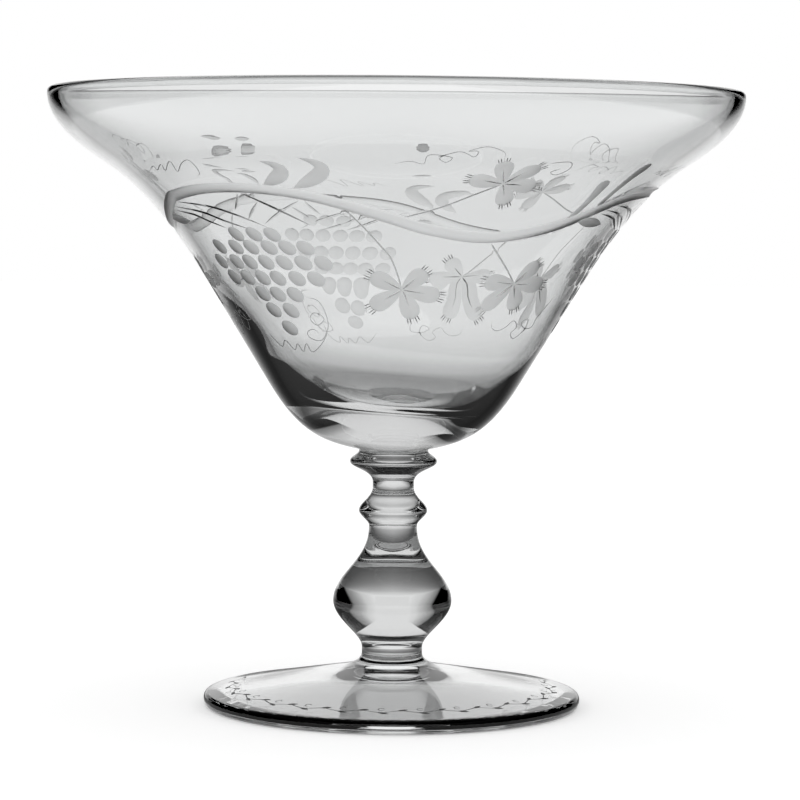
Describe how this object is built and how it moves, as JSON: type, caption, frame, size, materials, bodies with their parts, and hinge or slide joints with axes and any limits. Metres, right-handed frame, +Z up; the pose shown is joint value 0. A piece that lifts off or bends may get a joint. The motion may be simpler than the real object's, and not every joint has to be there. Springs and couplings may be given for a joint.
{
  "type": "footed glass fruit bowl",
  "caption": "Footed fruit bowl of clear glass: a flared bowl with a thick base and upturned lip, an engraved grapevine band, a knopped stem and a spread foot.",
  "frame": {"origin": "centre of the plane that the foot stands on", "axes": "+Z up the stem's axis, towards the bowl's rim"},
  "size_m": [0.22, 0.22, 0.1957],
  "materials": {
    "clear_glass": "clear, fire-polished",
    "engraved_glass": "clear, fire-polished, with ground matte cuts"
  },
  "bodies": {
    "root": {"foot": "engraved_glass", "baluster_knop": "clear_glass", "ring_knop": "clear_glass", "merese": "clear_glass", "bowl": "engraved_glass"}
  },
  "joints": []
}
